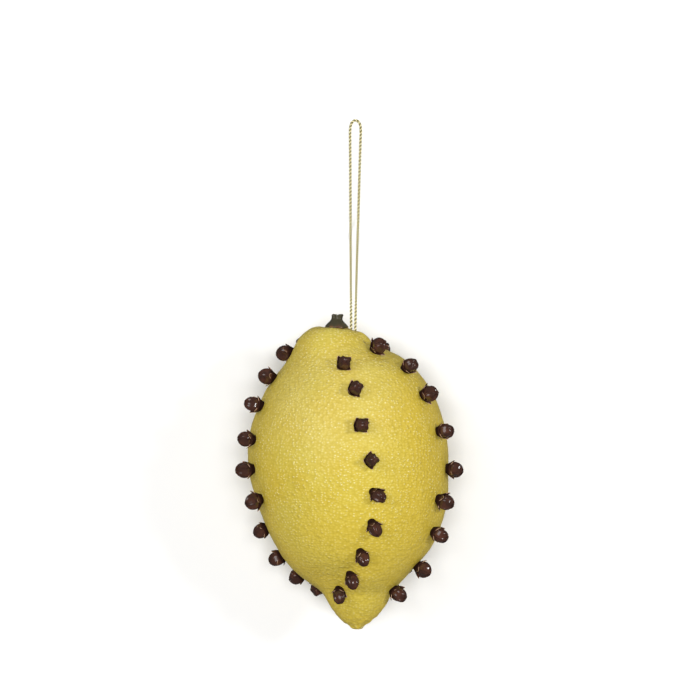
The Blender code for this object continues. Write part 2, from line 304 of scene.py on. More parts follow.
class Board:
    """The nodes of one material, laid out as they are added."""

    def __init__(self, name: str) -> None:
        """Starts a material with a Principled shader.

        Args:
            name: The material's name.
        """
        self.material = bpy.data.materials.new(name)
        self.material.use_nodes = True
        self.tree = self.material.node_tree
        self.shader = self.tree.nodes["Principled BSDF"]
        self.coords = self.add("ShaderNodeTexCoord").outputs["Object"]

    def add(
        self, kind: str, inputs: dict[str | int, Value] | None = None, **settings: object
    ) -> bpy.types.Node:
        """Adds a node.

        Args:
            kind: The node's type.
            inputs: Its inputs, by name or place, each a value or another node's output.
            settings: What its properties are set to.

        Returns:
            The node.
        """
        node = self.tree.nodes.new(kind)
        for name, value in settings.items():
            setattr(node, name, value)
        for key, value in (inputs or {}).items():
            self.feed(node.inputs[key], value)
        return node

    def feed(self, socket: Socket, value: Value) -> None:
        """Links an output to a socket, or sets the socket to a value.

        Args:
            socket: An input of a node.
            value: Another node's output, or the value.
        """
        if isinstance(value, bpy.types.NodeSocket):
            self.tree.links.new(value, socket)
        else:
            socket.default_value = value

    def math(self, operation: str, first: Value, second: Value = 0.0) -> Socket:
        """The output of a Math node on two values."""
        node = self.add("ShaderNodeMath", {0: first, 1: second}, operation=operation)
        return node.outputs[0]

    def times(self, *values: Value) -> Socket:
        """The product of the values."""
        return reduce(lambda first, second: self.math("MULTIPLY", first, second), values)

    def most(self, *values: Value) -> Socket:
        """The largest of the values."""
        return reduce(lambda first, second: self.math("MAXIMUM", first, second), values)

    def mix(self, share: Value, first: Value, second: Value, blend: str = "MIX") -> Socket:
        """Mixes two colours.

        Args:
            share: How much of the second is in the mix.
            first: The colour at 0.
            second: The colour at 1.
            blend: How the second is laid on the first.

        Returns:
            The mixed colour.
        """
        node = self.add("ShaderNodeMix", data_type="RGBA", blend_type=blend)
        for place, value in ((0, share), (6, first), (7, second)):
            self.feed(node.inputs[place], value)
        return node.outputs[2]

    def ramp(
        self, value: Value, low: float, high: float, start: float = 0.0, end: float = 1.0
    ) -> Socket:
        """Moves a value from one range to another in an even S, and holds it there.

        Args:
            value: The value.
            low: Where the S begins.
            high: Where it ends.
            start: What low becomes.
            end: What high becomes.

        Returns:
            The moved value.
        """
        node = self.add(
            "ShaderNodeMapRange",
            {0: value, 1: low, 2: high, 3: start, 4: end},
            interpolation_type="SMOOTHSTEP",
        )
        return node.outputs[0]

    def along(self, axis: str) -> Socket:
        """The place along X, Y or Z."""
        return self.add("ShaderNodeSeparateXYZ", {0: self.coords}).outputs[axis]

    def painted(self, name: str) -> Socket:
        """The number painted on the piece under that name."""
        return self.add("ShaderNodeAttribute", attribute_name=name).outputs["Fac"]

    def stretched(self, share: Place) -> Socket:
        """The coordinates, stretched by that much along each axis."""
        inputs = {"Vector": self.coords, "Scale": share}
        return self.add("ShaderNodeMapping", inputs).outputs[0]

    def vectors(self, operation: str, inputs: dict[int, Value]) -> Socket:
        """The vector that a Vector Math node gives."""
        return self.add("ShaderNodeVectorMath", inputs, operation=operation).outputs[0]

    def noise(self, scale: float, detail: float = 2.0, coords: Socket | None = None) -> Socket:
        """A noise of that many waves a metre."""
        inputs = {"Vector": coords or self.coords, "Scale": scale, "Detail": detail}
        return self.add("ShaderNodeTexNoise", inputs).outputs["Fac"]

    def near(self, place: Vector, start: float, end: float) -> Socket:
        """Marks what is near a place.

        Args:
            place: The place.
            start: The distance that the mark is 1 up to.
            end: The distance where it has fallen to 0.

        Returns:
            The mark.
        """
        inputs = {0: self.coords, 1: tuple(place)}
        gap = self.add("ShaderNodeVectorMath", inputs, operation="DISTANCE").outputs["Value"]
        return self.ramp(gap, start, end, 1.0, 0.0)

    def set(self, **inputs: Value) -> None:
        """Feeds the shader's inputs, underscores standing for spaces in their names."""
        for name, value in inputs.items():
            self.feed(self.shader.inputs[name.replace("_", " ")], value)

    def bump(
        self, height: Value, distance: float, strength: float, under: Socket | None = None
    ) -> Socket:
        """Bumps the surface.

        Args:
            height: How high each place is, from 0 to 1.
            distance: What a height of 1 stands for, in metres.
            strength: How much of the bump shows.
            under: The normal of a bump that this one lies on.

        Returns:
            The normal that the bump gives.
        """
        node = self.add("ShaderNodeBump", {"Height": height, "Distance": distance})
        node.inputs["Strength"].default_value = strength
        if under:
            self.feed(node.inputs["Normal"], under)
        return node.outputs["Normal"]


@dataclass(frozen=True)
class PeelFinish:
    """Moulded lemon peel: satin lemon yellow, raised in small round pebbles."""

    name: str = "lemon_peel"
    yellow: Colour = (0.600, 0.487, 0.085, 1)
    warm_yellow: Colour = (0.580, 0.433, 0.054, 1)
    green: Colour = (0.550, 0.470, 0.090, 1)
    pale: Colour = (0.630, 0.515, 0.150, 1)
    stain: Colour = (0.30, 0.15, 0.03, 1)
    fleck: Colour = (0.80, 0.76, 0.50, 1)
    # Painted highlight: the pale cream laid on the pips as their glints.
    glint_paint: Colour = (0.97, 0.90, 0.52, 1)
    # Painted shade, multiplied on in the valleys between the pebbles.
    valley_shade: Colour = (0.90, 0.885, 0.76, 1)
    pebble_pitch: float = 0.86 * MM
    pebble_stray: float = 0.6 * MM
    pebble_height: float = 0.20 * MM
    pip_radius: float = 0.30 * MM
    pip_height: float = 0.10 * MM
    wrinkle_pitch: float = 0.9 * MM
    wrinkle_height: float = 0.20 * MM
    # Where the painted sheen on the peel is strongest.
    sheen_middle: Place = (-6 * MM, 19 * MM, 56 * MM)
    roughness: float = 0.3
    shine: float = 0.12

    def cells(self, board: Board) -> tuple[Socket, Socket]:
        """The pebbles, drawn out a little round the lemon and strayed from an even spacing.

        Args:
            board: The material's nodes.

        Returns:
            How far each place is from the nearest pebble's middle, in pebble pitches, and a
            colour drawn at random for each pebble.
        """
        inputs = {"Vector": board.coords, "Scale": 500.0, "Detail": 1.0}
        stray = board.add("ShaderNodeTexNoise", inputs).outputs["Color"]
        stray = board.vectors("SUBTRACT", {0: stray, 1: (0.5,) * 3})
        stray = board.vectors("SCALE", {0: stray, 3: self.pebble_stray})
        moved = board.vectors("ADD", {0: board.stretched((0.88, 1.1, 0.88)), 1: stray})
        inputs = {"Vector": moved, "Scale": 1 / self.pebble_pitch, "Randomness": 0.75}
        pebbles = board.add("ShaderNodeTexVoronoi", inputs)
        return pebbles.outputs["Distance"], pebbles.outputs["Color"]

    def pebbles(self, board: Board, cells: Socket) -> Socket:
        """Domes the peel's low pebbles, flatter in patches and at the neck and the tip.

        Args:
            board: The material's nodes.
            cells: How far each place is from its pebble's middle.

        Returns:
            The height, 1 on top of a pebble.
        """
        dome = board.math("SUBTRACT", 1.0, board.times(cells, cells))
        patches = board.ramp(board.noise(45, 2), 0.35, 0.65, 0.6, 1.0)
        along = board.along("Y")
        neck = board.ramp(along, 22 * MM, 36 * MM, 1.0, 0.7)
        tip = board.ramp(along, -46 * MM, -36 * MM, 0.7, 1.0)
        return board.times(dome, patches, neck, tip)

    def pips(self, board: Board, cells: Socket) -> Socket:
        """Sets a small round dome on each pebble, in patches, and fainter towards the tip; it
        bumps the peel and places its painted highlights.

        Args:
            board: The material's nodes.
            cells: How far each place is from its pebble's middle.

        Returns:
            The height, 1 on top of each dome.
        """
        edge = self.pip_radius / self.pebble_pitch
        share = board.math("MINIMUM", board.math("DIVIDE", cells, edge), 1.0)
        round_top = board.math("SUBTRACT", 1.0, board.times(share, share))
        clear = board.ramp(board.along("Y"), -34 * MM, -2 * MM, 0.42, 1.0)
        patches = board.ramp(board.noise(110, 2), 0.40, 0.60, 0.55, 1.1)
        return board.times(round_top, clear, patches)

    def wrinkles(self, board: Board) -> Socket:
        """Wrinkles the peel finely round the lemon, deeper towards its neck and its tip.

        Args:
            board: The material's nodes.

        Returns:
            The height of the wrinkles.
        """
        along = board.along("Y")
        around = board.stretched((0.42, 1.15, 0.42))
        lines = board.noise(1 / self.wrinkle_pitch, 2.5, around)
        neck = board.ramp(along, 14 * MM, 34 * MM, 0.45, 1.0)
        tip = board.ramp(along, -48 * MM, -34 * MM, 0.6, 0.0)
        return board.times(lines, board.most(neck, tip))

    def skin_colour(self, board: Board) -> Socket:
        """Mixes the skin's yellows: warmer at its sides and tip, and paler at its upper left
        under a painted sheen.

        Args:
            board: The material's nodes.

        Returns:
            The colour.
        """
        # Warmer, deeper yellow towards both sides and the tip, and in random mottles.
        right = board.ramp(board.along("X"), 2 * MM, 20 * MM, 0.0, 1.0)
        left = board.ramp(board.along("X"), -26 * MM, -12 * MM, 0.7, 0.0)
        tip = board.ramp(board.along("Y"), -34 * MM, 8 * MM, 0.9, 0.0)
        mottle = board.ramp(board.noise(60, 3), 0.35, 0.7)
        colour = board.mix(board.most(mottle, right, left, tip), self.yellow, self.warm_yellow)
        # Painted sheen: the yellow turns paler round a place on the upper left of the front.
        painted_sheen = board.near(Vector(self.sheen_middle), 8 * MM, 30 * MM)
        colour = board.mix(board.times(painted_sheen, 0.5), colour, self.pale)
        greening = board.ramp(board.noise(38, 2), 0.5, 0.75, 0.0, 0.3)
        return board.mix(greening, colour, self.green)

    def build(self, cap_foot: Vector, cord_foot: Vector, tip: Vector) -> Material:
        """Makes the material.

        Args:
            cap_foot: Where the stem cap meets the peel.
            cord_foot: Where the cord goes into it.
            tip: The scar at the far end.

        Returns:
            The material.
        """
        board = Board(self.name)
        colour = self.skin_colour(board)
        stain = board.times(board.near(cap_foot, 3.6 * MM, 5.4 * MM), 0.3)
        colour = board.mix(stain, colour, self.stain)
        stain = board.times(board.near(cord_foot, 0.8 * MM, 2.8 * MM), 0.6)
        colour = board.mix(stain, colour, self.stain)
        specks = board.ramp(board.noise(900, 2), 0.55, 0.66)
        scar = board.times(board.near(tip, 1.2 * MM, 4.0 * MM), specks)
        colour = board.mix(scar, colour, self.fleck)
        cells, draws = self.cells(board)
        # Painted shade: the colour darkens towards each pebble's edge, in the valleys.
        deep = board.ramp(cells, 0.35, 0.75)
        colour = board.mix(deep, colour, self.valley_shade, "MULTIPLY")
        pips = self.pips(board, cells)
        draw = board.add("ShaderNodeSeparateColor", {0: draws}).outputs[0]
        # Painted highlights: each pip is painted pale, at a random strength for each pebble.
        bright = board.times(pips, board.ramp(draw, 0.1, 0.8, 0.25, 0.55))
        board.set(Base_Color=board.mix(bright, colour, self.glint_paint))
        normal = board.bump(self.wrinkles(board), self.wrinkle_height, 1.0)
        normal = board.bump(self.pebbles(board, cells), self.pebble_height, 1.0, normal)
        normal = board.bump(pips, self.pip_height, 1.0, normal)
        board.set(Normal=normal, Roughness=self.roughness, Specular_IOR_Level=self.shine)
        return board.material


@dataclass(frozen=True)
class CloveFinish:
    """Glossy dark brown paint on a clove, thin where the bare moulding shows, with painted shade
    low on its cup.
    """

    name: str = "painted_clove"
    brown: Colour = (0.040, 0.017, 0.012, 1)
    red: Colour = (0.070, 0.026, 0.016, 1)
    # Painted shade, low on the cup next to the peel.
    dark: Colour = (0.018, 0.007, 0.006, 1)
    bare: Colour = (0.60, 0.38, 0.25, 1)
    roughness: float = 0.13
    shine: float = 0.5

    def build(self) -> Material:
        """Makes the material.

        Returns:
            The material.
        """
        board = Board(self.name)
        colour = board.mix(board.ramp(board.noise(420, 3), 0.4, 0.7), self.brown, self.red)
        patchy = board.ramp(board.noise(700, 2), 0.38, 0.58, 0.35, 1.3)
        bare = board.ramp(board.times(board.painted("bare"), patchy), 0.35, 0.60, 0.0, 0.9)
        matt = board.painted("matt")
        # Painted shade: the colour darkens where the matt mark is high, low on the cup.
        colour = board.mix(board.ramp(matt, 0.4, 1.0), colour, self.dark)
        board.set(Base_Color=board.mix(bare, colour, self.bare))
        shine = board.ramp(matt, 0.0, 0.4, self.shine, 0.05)
        roughness = board.ramp(matt, 0.0, 0.4, self.roughness, 0.7)
        normal = board.bump(board.noise(1500, 3), 0.10 * MM, 0.3)
        board.set(Normal=normal, Roughness=roughness, Specular_IOR_Level=shine)
        return board.material


@dataclass(frozen=True)
class StemFinish:
    """The stem cap's dark olive brown, redder towards its skirt's edge."""

    name: str = "stem_brown"
    olive: Colour = (0.052, 0.046, 0.026, 1)
    red: Colour = (0.105, 0.050, 0.030, 1)
    rust: Colour = (0.16, 0.075, 0.018, 1)
    roughness: float = 0.25
    shine: float = 0.3

    def build(self, foot: Vector) -> Material:
        """Makes the material.

        Args:
            foot: The middle of the cap's base.

        Returns:
            The material.
        """
        board = Board(self.name)
        along = board.along("Y")
        low = board.ramp(along, foot.y, foot.y + 1.6 * MM, 0.8, 0.0)
        patches = board.ramp(board.noise(500, 3), 0.4, 0.65)
        colour = board.mix(board.times(low, patches), self.olive, self.red)
        edge = board.ramp(along, foot.y + 0.3 * MM, foot.y + 0.7 * MM, 1.0, 0.0)
        flecks = board.ramp(board.noise(1100, 2), 0.5, 0.62)
        colour = board.mix(board.times(edge, flecks), colour, self.rust)
        board.set(Base_Color=colour, Roughness=self.roughness, Specular_IOR_Level=self.shine)
        board.set(Normal=board.bump(board.noise(1800, 3), 0.08 * MM, 0.5))
        return board.material


@dataclass(frozen=True)
class ThreadFinish:
    """Gold metallic thread: bright foil wound on each ply, with painted shade where it turns
    under.
    """

    name: str = "gold_thread"
    gold: Colour = (1.0, 0.95, 0.58, 1)
    deep: Colour = (0.85, 0.70, 0.28, 1)
    # Painted shade where the plies meet.
    dark: Colour = (0.06, 0.045, 0.004, 1)
    metal: float = 0.15
    roughness: float = 0.35

    def build(self) -> Material:
        """Makes the material.

        Returns:
            The material.
        """
        board = Board(self.name)
        glint = board.ramp(board.noise(2600, 2), 0.35, 0.6)
        colour = board.mix(glint, self.deep, self.gold)
        # Painted shade where the plies meet, by the inside mark.
        board.set(Base_Color=board.mix(board.painted("inside"), colour, self.dark))
        wraps = board.add("ShaderNodeTexVoronoi", {"Vector": board.coords, "Scale": 5200})
        board.set(Normal=board.bump(wraps.outputs["Distance"], 0.06 * MM, 0.6))
        board.set(Metallic=self.metal, Roughness=self.roughness)
        return board.material


@dataclass(frozen=True)
class FloorFinish:
    """The studio's plain pale floor."""

    name: str = "studio_floor"
    pale: Colour = (0.9, 0.9, 0.9, 1)

    def build(self) -> Material:
        """Makes the material.

        Returns:
            The material.
        """
        board = Board(self.name)
        board.set(Base_Color=self.pale, Roughness=0.9, Specular_IOR_Level=0.1)
        return board.material


# ---------------------------------------------------------------- the studio


@dataclass
class Light:
    """A soft rectangular light, aimed at the lemon."""

    name: str
    place: Place
    sides: tuple[float, float]
    watts: float
    glints: bool = True

    def build(self, target: Vector) -> None:
        """Hangs the light.

        Args:
            target: What it points at.
        """
        lamp = bpy.data.lights.new(self.name, "AREA")
        lamp.shape = "RECTANGLE"
        lamp.size, lamp.size_y = self.sides
        lamp.energy = self.watts
        made = added(self.name, lamp)
        made.location = self.place
        aim = target - Vector(self.place)
        made.rotation_euler = aim.to_track_quat("-Z", "Y").to_euler()
        made.visible_glossy = self.glints


@dataclass
class Studio:
    """The camera above the lemon, the floor that it lies on, and soft light."""

    view_middle: Place = (0.3 * MM, 34.0 * MM, 30.75 * MM)
    view_width: float = 220.5 * MM
    distance: float = 1.2
    film: float = 36.0
    floor_side: float = 4.0
    floor_finish: FloorFinish = FloorFinish()
    lemon_middle: float = 30 * MM
    sky: float = 0.11
    lights: tuple[Light, ...] = (
        Light("key", (0.72, 0.20, 0.85), (0.2, 0.2), 4.8),
        Light("left", (-0.60, 0.24, 0.95), (0.6, 0.6), 4.7),
        Light("top", (0.0, 0.0, 1.5), (0.5, 0.5), 15.7, glints=False),
    )

    def place_camera(self) -> None:
        """Looks straight down at the lemon, with its stem at the top."""
        lens = bpy.data.cameras.new("camera")
        lens.sensor_width = self.film
        lens.lens = self.film * self.distance / self.view_width
        lens.clip_end = 10
        lens.dof.use_dof = False
        camera = added("camera", lens)
        camera.location = Vector(self.view_middle) + Vector((0, 0, self.distance))
        bpy.context.scene.camera = camera

    def lay_floor(self) -> None:
        """Lays the floor that the lemon and the cord lie on."""
        deselect_all()
        bpy.ops.mesh.primitive_plane_add(size=self.floor_side)
        floor = bpy.context.object
        floor.name = "floor"
        floor.data.materials.append(self.floor_finish.build())
        floor.visible_glossy = False

    def light_up(self) -> None:
        """Hangs the lights and sets the sky's even glow."""
        world = bpy.data.worlds.new("studio")
        world.use_nodes = True
        glow = world.node_tree.nodes["Background"]
        glow.inputs["Color"].default_value = (1, 1, 1, 1)
        glow.inputs["Strength"].default_value = self.sky
        bpy.context.scene.world = world
        for light in self.lights:
            light.build(Vector((0, 0, self.lemon_middle)))
        bpy.context.scene.view_settings.view_transform = "Standard"


# ---------------------------------------------------------------- the cord


@dataclass
class HangingCord:
    """The looped cord: two plies twisted together, lying as it falls from the lemon."""

    name: str = "twisted_cord"
    diameter: float = 0.9 * MM
    ply_radius: float = 0.245 * MM
    ply_offset: float = 0.205 * MM
    twist: float = 2.36 * MM
    spacing: float = 0.19 * MM
    steps: int = 12
    exit_along: float = 40.4 * MM
    middle: tuple[float, float] = (1.27 * MM, 2.10 * MM)
    finish: ThreadFinish = ThreadFinish()
    # One strand, in mm: along +Y, height above the floor, half the gap between the strands.
    route: tuple[Place, ...] = (
        (38.2, 33.15, 0.68), (41.5, 33.15, 0.68), (44.5, 32.95, 0.71), (47.8, 32.00, 0.76),
        (51.2, 29.90, 0.81), (54.4, 26.60, 0.86), (57.4, 22.60, 0.91), (60.3, 18.10, 0.96),
        (63.2, 13.50, 1.01), (66.3, 9.00, 1.07), (69.8, 5.00, 1.13), (73.8, 2.10, 1.20),
        (78.2, 0.75, 1.27), (83.0, 0.50, 1.35), (89.0, 0.50, 1.45), (95.0, 0.50, 1.55),
        (101.0, 0.50, 1.66), (105.6, 0.50, 1.68), (107.5, 0.50, 1.12), (108.2, 0.50, 0.00),
    )

    def foot(self) -> Vector:
        """Midway between the strands where they leave the peel."""
        return Vector((self.middle[0], self.exit_along, self.route[0][1] * MM))

    def route_points(self) -> list[Vector]:
        """Follows the route up one strand and down the other.

        Returns:
            The points of the route.
        """
        first, last = self.route[0][0], self.route[-1][0]
        left, right = [], []
        for along, height, half_gap in self.route:
            share = (along - first) / (last - first)
            middle = self.middle[0] + (self.middle[1] - self.middle[0]) * share
            left.append(Vector((middle - half_gap * MM, along * MM, height * MM)))
            right.append(Vector((middle + half_gap * MM, along * MM, height * MM)))
        return left + right[-2::-1]

    def centre_line(self) -> list[Vector]:
        """Points on the smooth curve through the route, evenly spaced.

        Returns:
            The points, the first and last inside the lemon.
        """
        points = self.route_points()
        ends = [2 * points[0] - points[1], *points, 2 * points[-1] - points[-2]]
        dense = []
        for before, start, end, after in zip(ends, ends[1:], ends[2:], ends[3:]):
            for step in range(self.steps):
                t = step / self.steps
                dense.append(
                    start
                    + (end - before) * (t / 2)
                    + (2 * before - 5 * start + 4 * end - after) * (t**2 / 2)
                    + (3 * start - before - 3 * end + after) * (t**3 / 2)
                )
        dense.append(points[-1])
        total = sum((b - a).length for a, b in zip(dense, dense[1:]))
        count = round(total / self.spacing)
        line, walked, index = [dense[0]], 0.0, 0
        for i in range(1, count):
            wanted = total * i / count
            while walked + (dense[index + 1] - dense[index]).length < wanted:
                walked += (dense[index + 1] - dense[index]).length
                index += 1
            step = dense[index + 1] - dense[index]
            line.append(dense[index] + step * ((wanted - walked) / step.length))
        return line + [dense[-1]]

    def ply_line(self, line: list[Vector], phase: float) -> list[Vector]:
        """The middle of one ply, wound round the cord's centre line.

        Args:
            line: The centre line.
            phase: The ply's angle round it at the start.

        Returns:
            One point for each of the line's.
        """
        ply, walked = [], 0.0
        side = Vector((1, 0, 0))
        for i, point in enumerate(line):
            ahead = (line[min(i + 1, len(line) - 1)] - line[max(i - 1, 0)]).normalized()
            side = (side - ahead * side.dot(ahead)).normalized()
            up = ahead.cross(side)
            angle = phase + 2 * math.pi * walked / self.twist
            offset = side * math.cos(angle) + up * math.sin(angle)
            ply.append(point + offset * self.ply_offset)
            if i + 1 < len(line):
                walked += (line[i + 1] - point).length
        return ply

    def ply_tube(self, points: list[Vector], name: str) -> Piece:
        """A ply as a round tube with closed ends.

        Args:
            points: The ply's middle.
            name: The tube's name.

        Returns:
            The tube, a mesh.
        """
        curve = bpy.data.curves.new(name, "CURVE")
        curve.dimensions = "3D"
        curve.bevel_depth = self.ply_radius
        curve.bevel_resolution = 2
        curve.use_fill_caps = True
        spline = curve.splines.new("POLY")
        spline.points.add(len(points) - 1)
        for point, place in zip(spline.points, points):
            point.co = (*place, 1)
        take(added(name, curve))
        bpy.ops.object.convert(target="MESH")
        return bpy.context.object

    def shade_inside(self, cord: Piece, line: list[Vector]) -> None:
        """Marks where the plies meet, which the light doesn't reach.

        Args:
            cord: The twisted plies.
            line: The cord's centre line.
        """
        tree = search_tree(line)

        def inside(place: Vector, _normal: Vector) -> float:
            """1 at the cord's centre line and 0 on its outside."""
            return smooth_step(0.42 * MM, 0.36 * MM, tree.find(place)[2])

        paint_attribute(cord, "inside", inside)

    def build(self) -> None:
        line = self.centre_line()
        plies = [
            self.ply_tube(self.ply_line(line, phase), f"ply_{i}")
            for i, phase in enumerate((0.0, math.pi))
        ]
        take(*plies)
        bpy.ops.object.join()
        cord = bpy.context.object
        cord.name = cord.data.name = self.name
        with editing(cord):
            bpy.ops.mesh.normals_make_consistent(inside=False)
        take(cord)
        bpy.ops.object.shade_smooth()
        self.shade_inside(cord, line)
        settle(cord, self.finish.build(), "cord")


# ---------------------------------------------------------------- the cloves


class BudStyle(Enum):
    """How a clove's petals wrap its bud: their twist, the lift of their edges, their turn."""

    CLOSED = (0.10, 0.20, 0.05)
    SWIRLED = (0.32, 0.24, 0.12)
    LOOSE = (-0.16, 0.26, 0.20)


@dataclass
class CloveSeat:
    """Where a packed clove stands, read from its mesh."""

    node: str
    frame: Matrix
    root: Vector

    FOOT_DEPTH = 0.9 * MM
    FOOT_RADIUS = 1.3 * MM
    CROWN = 5.75 * MM

    @classmethod
    def read(cls, node: Piece) -> CloveSeat:
        """Finds a clove's flat foot, its axis and the corner that its sepals start from.

        Args:
            node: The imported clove.

        Returns:
            The seat. Its frame takes a clove modelled upright, with the peel at z = 0.
        """
        faces = list(node.data.polygons)
        shares = [
            sum(g.area for g in faces if g.normal.dot(face.normal) > 0.9998)
            for face in faces
        ]
        down = faces[shares.index(max(shares))].normal.copy()
        foot_faces = [face for face in faces if face.normal.dot(down) > 0.9998]
        area = sum(face.area for face in foot_faces)
        foot = sum((face.center * face.area for face in foot_faces), Vector()) / area
        axis = -down.normalized()
        points = [point.co - foot for point in node.data.vertices]
        across = [point - axis * point.dot(axis) for point in points]
        foot_points = {i for face in foot_faces for i in face.vertices}
        width = max(across[i].length for i in foot_points) / cls.FOOT_RADIUS
        crown = max(point.dot(axis) for point in points)
        length = crown / (cls.CROWN + cls.FOOT_DEPTH)
        side = max(across, key=lambda offset: offset.length).normalized()
        root = foot + axis * (cls.FOOT_DEPTH * length)
        turned = Matrix((side, axis.cross(side), axis)).transposed().to_4x4()
        scale = Matrix.Diagonal((width, width, length, 1))
        return cls(node.name, Matrix.Translation(root) @ turned @ scale, root)


@dataclass
class CloveModel:
    """One clove, modelled upright: a four-cornered calyx whose sepals hold a fat bud."""

    style: BudStyle
    seed: int
    # Up the cup's outside and down its inside.
    cup: Rings = (
        (-0.90, 1.30), (0.00, 1.46), (0.45, 1.74), (0.85, 1.96),
        (1.16, 2.12), (1.40, 2.00), (1.12, 1.76), (0.60, 1.20),
    )
    cup_sides: int = 16
    rim_height: float = 1.05 * MM
    rim_radius: float = 1.95 * MM
    # A sepal's tip and its two flanks: degrees from its middle, and their share of the pull.
    sepal_shape: tuple[Place, ...] = ((0, 8, 1.0), (14, 31, 0.42))
    sepal_out: float = 1.65 * MM
    sepal_up: float = 1.85 * MM
    notch_down: float = 0.15 * MM
    bud_middle: float = 2.78 * MM
    bud_radius: float = 2.20 * MM
    bud_half_length: float = 2.72 * MM
    squareness: float = 0.24 * MM
    petals: int = 4

    def calyx(self) -> Piece:
        """The cup, drawn up and folded in from a circle, with a sepal pulled from each corner.

        Returns:
            The calyx, its corners on the x and y axes.
        """
        draw = random.Random(self.seed)
        calyx = draw_up("calyx", self.cup, self.cup_sides, "NGON")
        with editing(calyx):
            for corner in range(self.petals):
                angle = corner * math.pi / 2
                out = Vector((math.cos(angle), math.sin(angle), 0))
                stray = 1 + draw.uniform(-0.22, 0.16)
                for low, high, share in self.sepal_shape:
                    pick(calyx, "vertices", self.on_rim(angle, low, high))
                    lift = Vector((0, 0, self.sepal_up * stray))
                    pull = (out * self.sepal_out + lift) * share
                    bpy.ops.transform.translate(value=pull)
                pick(calyx, "vertices", self.on_rim(angle + math.pi / 4, 0, 8))
                bpy.ops.transform.translate(value=(0, 0, -self.notch_down))
            bpy.ops.mesh.select_all(action="SELECT")
            bpy.ops.mesh.normals_make_consistent(inside=False)
        subdivide_smoothly(calyx, 2)
        paint_attribute(calyx, "bare", self.bareness)
        # Low on the cup the paint is duller, and darker there as painted shade next to the peel.
        paint_attribute(
            calyx, "matt", lambda place, _normal: smooth_step(2.4 * MM, 0.8 * MM, place.z)
        )
        return calyx

    def on_rim(self, angle: float, low: float, high: float) -> Callable[[MeshPart], bool]:
        """Makes a test for the points of one stretch of the rim.

        Args:
            angle: The middle of the stretch, in radians round the cup.
            low: How far from it the stretch begins, either way, in degrees.
            high: How far from it the stretch ends.

        Returns:
            The test.
        """

        def test(point: bpy.types.MeshVertex) -> bool:
            """Whether a point is on the rim's stretch.

            Args:
                point: A point of the cup.

            Returns:
                True on the stretch.
            """
            place = point.co
            if place.z < self.rim_height or math.hypot(place.x, place.y) < self.rim_radius:
                return False
            apart = math.degrees(math.atan2(place.y, place.x) - angle) % 360
            return low <= min(apart, 360 - apart) <= high

        return test

    def bud(self) -> Piece:
        """The squarish ball of petals, each lapping over the next.

        Returns:
            The bud, over the calyx.
        """
        twist, lift, turned = self.style.value
        deselect_all()
        bpy.ops.mesh.primitive_uv_sphere_add(
            segments=72, ring_count=28, radius=1, location=(0, 0, self.bud_middle)
        )
        ball = bpy.context.object
        ball.scale = (self.bud_radius, self.bud_radius, self.bud_half_length)
        bpy.ops.object.transform_apply(location=True, rotation=True, scale=True)

        def lapping(place: Vector, _normal: Vector) -> float:
            """The lift of the petals' edges and of the bud's four corners.

            Args:
                place: A point's place.

            Returns:
                The lift, in metres.
            """
            level = (place.z - self.bud_middle) / self.bud_half_length
            wide = math.sqrt(max(0.0, 1 - level**2))
            angle = math.atan2(place.y, place.x)
            corner = math.cos(4 * angle) * self.squareness * wide**0.5
            share = (angle / (2 * math.pi) * self.petals + turned + twist * level) % 1
            lip = smooth_step(0.70, 0.92, share) - smooth_step(0.93, 1.0, share)
            hollow = 0.35 * smooth_step(0.22, 0.0, share)
            return corner + lift * MM * (lip - hollow - 0.2) * wide**0.4

        raise_points(ball, lapping, 0.4 * MM)
        return ball

    def bareness(self, place: Vector, normal: Vector) -> float:
        """Says how thin the paint is: most on the sepals' lips, and none on their two faces.

        Args:
            place: A point's place.
            normal: Its normal.

        Returns:
            1 where the moulding is bare.
        """
        across = Vector((place.x, place.y, 0)).normalized()
        face = across * 0.83 - Vector((0, 0, 0.55))
        lip = smooth_step(0.97, 0.75, abs(normal.dot(face)))
        return lip * smooth_step(1.5 * MM, 2.1 * MM, place.z)

    def build(self) -> Piece:
        """Joins the calyx and the bud into one clove.

        Returns:
            The clove, standing at the origin.
        """
        calyx, bud = self.calyx(), self.bud()
        take(calyx, bud)
        bpy.ops.object.join()
        clove = bpy.context.object
        clove.name = f"clove_model_{self.style.name.lower()}"
        take(clove)
        bpy.ops.object.shade_smooth_by_angle(angle=math.radians(60))
        return clove


